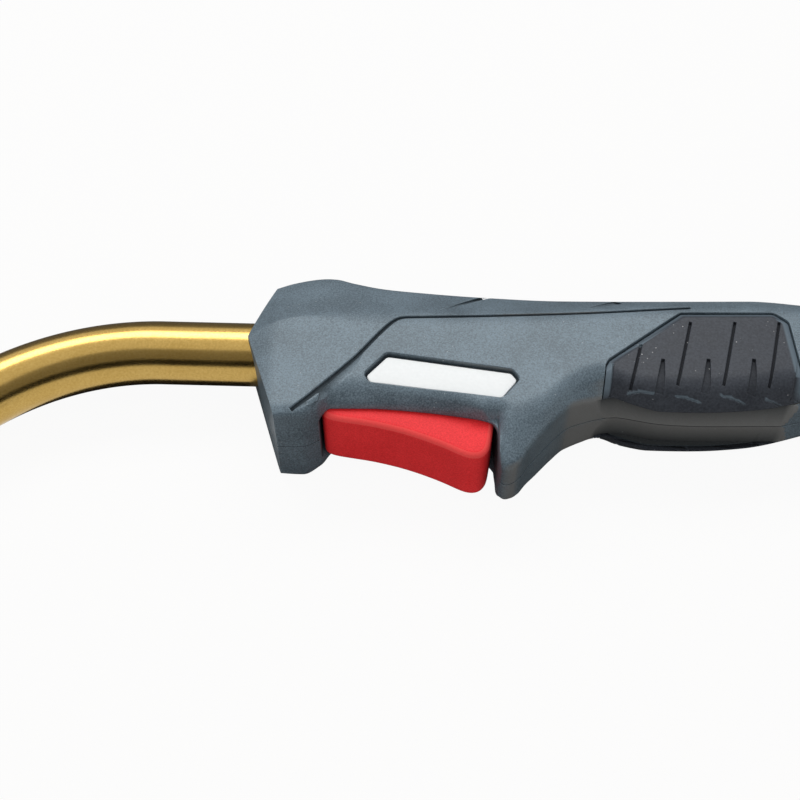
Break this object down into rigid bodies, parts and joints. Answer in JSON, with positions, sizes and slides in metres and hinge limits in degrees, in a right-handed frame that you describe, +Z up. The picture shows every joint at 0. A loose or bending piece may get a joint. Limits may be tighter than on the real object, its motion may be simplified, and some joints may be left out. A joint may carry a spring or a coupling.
{
  "type": "mig welding torch",
  "caption": "Water-cooled mig welding torch: two-part pistol handle with soft grip inserts, sprung trigger, bent brass neck, gas nozzle and swivelling cable outlet.",
  "frame": {"origin": "centre of the box's base, on the surface that the torch lies on", "axes": "the torch lies on its side: +X from the gas nozzle to the cable outlet along the handle, +Y from the trigger side to the back of the handle, +Z up, square to the parting plane of the handle"},
  "size_m": [0.372, 0.1304, 0.035],
  "materials": {
    "shell_plastic": "fine-grained slate grey moulded plastic",
    "grip_rubber": "charcoal soft-touch rubber",
    "plate_white": "bare white plate",
    "trigger_red": "red moulded plastic",
    "steel": "bright zinc-plated steel",
    "switch_black": "black moulded plastic",
    "plunger_red": "red plastic",
    "brass": "satin brass",
    "copper": "bare copper",
    "liner_steel": "wound steel wire",
    "insulator": "pale high-temperature plastic",
    "nozzle_chrome": "satin nickel plate over copper",
    "sleeve_plastic": "black moulded plastic"
  },
  "bodies": {
    "handle": {"handle_shell_upper": "shell_plastic", "handle_shell_lower": "shell_plastic", "grip_insert_upper": "grip_rubber", "grip_insert_lower": "grip_rubber", "nameplate": "plate_white", "handle_screws": "steel", "trigger_pin": "steel", "trigger_spring": "steel", "switch_body": "switch_black", "switch_terminals": "steel", "neck_jacket": "brass", "neck_inner_tube": "copper", "water_tube_supply": "copper", "water_tube_return": "copper", "neck_liner": "liner_steel", "neck_collar": "brass", "neck_lock_screw": "steel", "connection_block": "brass", "hose_barbs": "brass", "neck_head": "brass", "head_o_rings": "switch_black", "nozzle_insulator": "insulator", "gas_diffuser": "brass", "tip_holder": "copper", "contact_tip": "copper", "gas_nozzle": "nozzle_chrome"},
    "trigger": {"trigger": "trigger_red"},
    "plunger": {"switch_plunger": "plunger_red"},
    "cable_ball": {"cable_ball": "switch_black"},
    "cable_sleeve": {"cable_sleeve": "sleeve_plastic"}
  },
  "joints": [
    {"name": "trigger_pivot", "type": "hinge", "parent": "handle", "child": "trigger", "pos_m": [0.00751, 0.01379, 0.0175], "axis": [0, 0, 1], "range_deg": [0, 4.4], "stiffness_Nm_per_rad": 1, "springref_deg": -2.86, "deforming": ["trigger_spring"]},
    {"name": "plunger_slide", "type": "slide", "parent": "handle", "child": "plunger", "axis": [0, 1, 0], "range_m": [0, 0.0019]},
    {"name": "cable_tilt", "type": "hinge", "parent": "handle", "child": "cable_ball", "pos_m": [0.15601, 0.03179, 0.0175], "axis": [0, 0, 1], "range_deg": [-15, 15]},
    {"name": "cable_swivel", "type": "hinge", "parent": "cable_ball", "child": "cable_sleeve", "pos_m": [0.15601, 0.03179, 0.0175], "axis": [1, 0, 0], "continuous": true}
  ],
  "couplings": [
    {"joint": "plunger_slide", "follows": "trigger_pivot", "m_per_rad": 0.0245}
  ]
}
